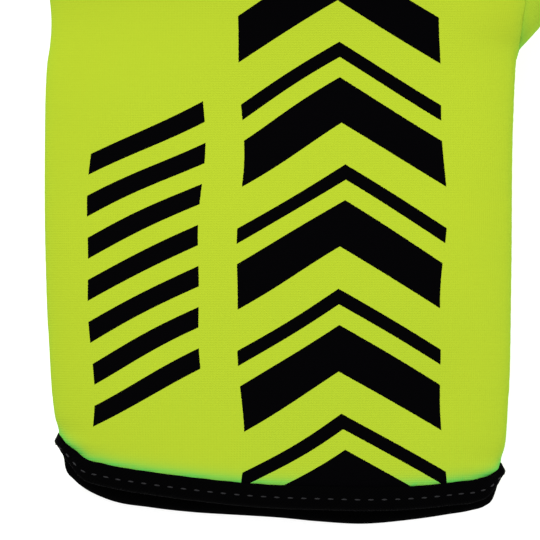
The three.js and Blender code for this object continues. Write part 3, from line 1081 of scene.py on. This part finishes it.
def clothMaterial(name, printed):
    paint = Paint(name)
    objectPlace = paint.add('ShaderNodeTexCoord', output=3)
    cloud = (paint.noise(objectPlace, clothPaint['cloudScale'], 3) - 0.5) * clothPaint['cloud']
    overTape = paint.add('ShaderNodeAttribute', {'attribute_name': 'overTape'}, output=2)
    paintedShade = paint.add('ShaderNodeAttribute', {'attribute_name': 'paintedShade'}, output=2)
    # painted shade: a greener line along the tape's upper edge, fading with the distance over the tape
    line = (overTape * (-1 / clothPaint['lineWidth'])).exp() * clothPaint['lineStrength']
    height = knitHeight(paint)
    # the mix towards the painted shade's green: painted shade from the attribute and from the knit's hollows,
    # plus soft patches at random
    paintedShadeAndCloud = paintedShade + cloud + (clothPaint['knitMiddle'] - height) * clothPaint['knitShade']
    colour = paint.mixed(paintedShadeAndCloud.atLeast(0), clothPaint['bright'], clothPaint['paintedShade'])
    colour = paint.mixed(line.atMost(1), colour, clothPaint['line'])
    roughness = clothPaint['roughness']
    if printed:
        mask = printMask(paint)
        colour = paint.mixed(mask, colour, clothPaint['ink'])
        roughness = roughness - mask * clothPaint['inkSmoother']
        height = height * (1 - mask * clothPaint['inkFilling'])
    normal = paint.bump(height, clothPaint['bump'], clothPaint['bumpHeight'])
    return paint.finish({
        'Base Color': colour, 'Roughness': roughness, 'Specular IOR Level': 0.01, 'Normal': normal})


tapePaint = {
    'dark': (0.0002, 0.0002, 0.0003),
    'light': (0.0014, 0.0014, 0.0016),
    'ribPitch': 0.55,  # mm between the ribs of the weave, and between those that cross them
    'crossPitch': 0.8,
    'roughness': 0.85,
    'bump': 0.35,
    'bumpHeight': 0.12 * mm,
}


# A ribbed weave: waves along one diagonal, with weaker ones along the other.
def tapeMaterial():
    paint = Paint('blackTape')
    _, u, v = paint.mapOf('weave')
    ribs = ((u + v) * (fullTurn / tapePaint['ribPitch'])).sine()
    ribs = ribs + 0.5 * ((u - v) * (fullTurn / tapePaint['crossPitch'])).sine()
    tint = paint.mixed(ribs * 0.25 + 0.5, tapePaint['dark'], tapePaint['light'])
    normal = paint.bump(ribs, tapePaint['bump'], tapePaint['bumpHeight'])
    return paint.finish({
        'Base Color': tint, 'Roughness': tapePaint['roughness'],
        'Specular IOR Level': 0.01, 'Normal': normal})


threadPaint = {
    'dark': (0.004, 0.004, 0.005),
    'light': (0.014, 0.014, 0.016),
    'fibreScale': 3000,
    'roughness': 0.6,
}


def threadMaterial():
    paint = Paint('greyThread')
    fibre = paint.noise(paint.add('ShaderNodeTexCoord', output=3), threadPaint['fibreScale'], 1)
    tint = paint.mixed(fibre, threadPaint['dark'], threadPaint['light'])
    return paint.finish({
        'Base Color': tint, 'Roughness': threadPaint['roughness'], 'Specular IOR Level': 0.3})


studio = {
    'photoMiddle': (-1.7 * mm, -69.6 * mm),
    'photoWidth': 112.3 * mm,
    'scaleHeight': 14 * mm,  # height over the floor where the photo's width holds
    'lens': 500,
    'sensor': 36,
    'room': 0.57,  # strength of the even light from all round
    'floorHalf': 3,
    'floorHeight': -0.3 * mm,
    'floorGlow': 0.78,
}
lights = [
    {'name': 'keyLight', 'place': (-0.65, 1.3, 2.0), 'size': 0.6, 'power': 39.5},
    {'name': 'fillLight', 'place': (1.3, -0.3, 0.8), 'size': 0.8, 'power': 5.5},
]


def makeStudio():
    scene = bpy.context.scene
    scene.view_settings.view_transform = 'Standard'
    scene.world = bpy.data.worlds.new('paleRoom')
    scene.world.use_nodes = True
    background = scene.world.node_tree.nodes['Background']
    background.inputs['Color'].default_value = (1, 1, 1, 1)
    background.inputs['Strength'].default_value = studio['room']

    half = studio['floorHalf']
    corners = [(half * x, half * y, studio['floorHeight']) for x, y in ((-1, -1), (1, -1), (1, 1), (-1, 1))]
    floor = newObject('paleFloor', corners, [(0, 1, 2, 3)])
    floor.data.materials.append(Paint('palePaper').finish({
        'Base Color': (0.5, 0.5, 0.5, 1), 'Roughness': 0.9, 'Specular IOR Level': 0.0,
        'Emission Color': (1, 1, 1, 1), 'Emission Strength': studio['floorGlow']}))

    for row in lights:
        lamp = bpy.data.lights.new(row['name'], 'AREA')
        lamp.size = row['size']
        lamp.energy = row['power']
        thing = bpy.data.objects.new(row['name'], lamp)
        thing.location = row['place']
        thing.rotation_mode = 'QUATERNION'
        thing.rotation_quaternion = thing.location.to_track_quat('Z', 'Y')  # it faces the origin
        bpy.context.collection.objects.link(thing)

    lens = bpy.data.cameras.new('camera')
    lens.lens = studio['lens']
    lens.sensor_width = studio['sensor']
    lens.clip_start = 0.01
    lens.clip_end = 20
    camera = bpy.data.objects.new('camera', lens)
    distance = studio['photoWidth'] * studio['lens'] / studio['sensor']
    camera.location = (*studio['photoMiddle'], studio['scaleHeight'] + distance)
    bpy.context.collection.objects.link(camera)
    scene.camera = camera
    print('studio ready')


def main():
    makeStudio()
    printed = clothMaterial('printedCloth', True)
    plain = clothMaterial('plainCloth', False)
    makePanels(gloveSkin(), printed, plain)
    makeTape(tapeMaterial())
    makeStitches(threadMaterial())


main()
